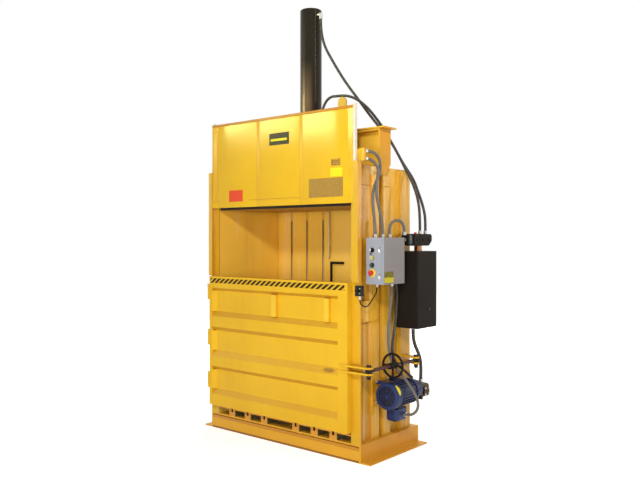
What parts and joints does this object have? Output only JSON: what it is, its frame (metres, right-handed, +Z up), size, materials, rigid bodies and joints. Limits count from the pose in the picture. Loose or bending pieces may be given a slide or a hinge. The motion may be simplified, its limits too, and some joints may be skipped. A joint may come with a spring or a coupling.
{
  "type": "recycling baler",
  "caption": "Vertical downstroke baler for card: hydraulic ram over a chamber with a sliding feed gate, a hinged bale door with a screw latch, a control box and a power pack on one side.",
  "frame": {"origin": "on the floor, under the middle of the base and of the cylinder", "axes": "+Z up, the loading side faces -Y, +X towards the control box and the power pack"},
  "size_m": [2.1104, 0.918, 3.741],
  "materials": {
    "yellow_paint": "worn gloss",
    "grey_paint": "satin",
    "black_paint": "satin",
    "blue_paint": "satin",
    "bare_steel": "worn",
    "rod_chrome": "polished",
    "rusty_steel": "rusty",
    "zinc": "bright zinc",
    "bronze": "dull",
    "copper_stem": "dull",
    "white_plastic": "matt",
    "black_plastic": "matt",
    "ivory_plastic": "gloss",
    "green_plastic": "gloss",
    "red_plastic": "gloss",
    "yellow_plastic": "gloss",
    "hose_rubber": "satin",
    "conduit_grey": "satin"
  },
  "bodies": {
    "frame": {"base_sills": "yellow_paint", "base_beams": "yellow_paint", "chamber_floor": "yellow_paint", "side_wall_left": "yellow_paint", "side_wall_right": "yellow_paint", "back_wall": "yellow_paint", "back_stiffeners": "yellow_paint", "front_upright_left": "yellow_paint", "front_upright_right": "yellow_paint", "side_ribs_left": "yellow_paint", "side_ribs_right": "yellow_paint", "crossbeam": "yellow_paint", "hose_post": "yellow_paint", "cylinder_barrel": "black_paint", "cylinder_gland": "bare_steel", "hinge_brackets": "yellow_paint", "hinge_pins": "bare_steel", "latch_rear_pin": "black_plastic", "latch_bracket": "yellow_paint", "enclosure_box": "grey_paint", "control_gear": "ivory_plastic", "button_collars": "yellow_plastic", "door_switch": "black_plastic", "gate_switch": "yellow_paint", "oil_tank": "black_paint", "breather_cap": "black_plastic", "valve_stem": "copper_stem", "valve_block": "black_paint", "motor": "blue_paint", "motor_plate": "yellow_paint", "terminal_box": "blue_paint", "pump": "bronze", "grease_pipe": "bare_steel", "conduit_fittings": "zinc", "hose_fittings": "zinc", "top_hose": "hose_rubber", "lower_hose": "hose_rubber", "conduit_a": "conduit_grey", "conduit_b": "conduit_grey", "conduit_arch": "conduit_grey", "motor_conduit": "conduit_grey", "pump_hose": "hose_rubber", "suction_hose": "hose_rubber", "switch_cable": "black_plastic"},
    "ram": {"piston": "bare_steel", "piston_rod": "rod_chrome", "platen": "black_paint"},
    "gate": {"gate_panel": "yellow_paint", "gate_guide_strips": "white_plastic"},
    "door": {"door_panel": "yellow_paint", "latch_arms": "yellow_paint", "latch_front_pin": "black_plastic"},
    "latch": {"latch_screw": "rusty_steel"},
    "wheel": {"handwheel": "black_paint"},
    "lid": {"enclosure_lid": "grey_paint"},
    "selector": {"key_selector": "black_plastic"},
    "lamp_push": {"lamp_button": "ivory_plastic"},
    "start_push": {"start_button": "green_plastic"},
    "stop_push": {"stop_button": "red_plastic"},
    "ejector": {"ejector_bar": "black_paint"}
  },
  "joints": [
    {"name": "ram_slide", "type": "slide", "parent": "frame", "child": "ram", "axis": [0, 0, -1], "range_m": [0, 0.92]},
    {"name": "gate_slide", "type": "slide", "parent": "frame", "child": "gate", "axis": [0, 0, -1], "range_m": [0, 0.608]},
    {"name": "door_hinge", "type": "hinge", "parent": "frame", "child": "door", "pos_m": [-0.844, -0.446, 0.828], "axis": [0, 0, 1], "range_deg": [-120, 0]},
    {"name": "latch_swing", "type": "hinge", "parent": "frame", "child": "latch", "pos_m": [0.96, 0.211, 0.73], "axis": [0, 0, 1], "range_deg": [0, 120]},
    {"name": "handwheel_spin", "type": "hinge", "parent": "latch", "child": "wheel", "pos_m": [0.96, -0.124, 0.73], "axis": [0, 1, 0], "continuous": true},
    {"name": "lid_hinge", "type": "hinge", "parent": "frame", "child": "lid", "pos_m": [1.0185, -0.071, 1.557], "axis": [0, 0, 1], "range_deg": [0, 110]},
    {"name": "key_turn", "type": "hinge", "parent": "frame", "child": "selector", "pos_m": [0.928, -0.365, 1.64], "axis": [0, 1, 0], "range_deg": [-45, 45]},
    {"name": "lamp_press", "type": "slide", "parent": "frame", "child": "lamp_push", "axis": [0, 1, 0], "range_m": [0, 0.006], "stiffness_N_per_m": 600, "springref_m": -0.002},
    {"name": "start_press", "type": "slide", "parent": "frame", "child": "start_push", "axis": [0, 1, 0], "range_m": [0, 0.006], "stiffness_N_per_m": 600, "springref_m": -0.002},
    {"name": "stop_press", "type": "slide", "parent": "frame", "child": "stop_push", "axis": [0, 1, 0], "range_m": [0, 0.009], "stiffness_N_per_m": 800, "springref_m": -0.002},
    {"name": "ejector_lift", "type": "slide", "parent": "frame", "child": "ejector", "axis": [0, 0, 1], "range_m": [0, 0.35]}
  ],
  "couplings": [
    {"joint": "latch_swing", "follows": "door_hinge", "ratio": -1}
  ]
}
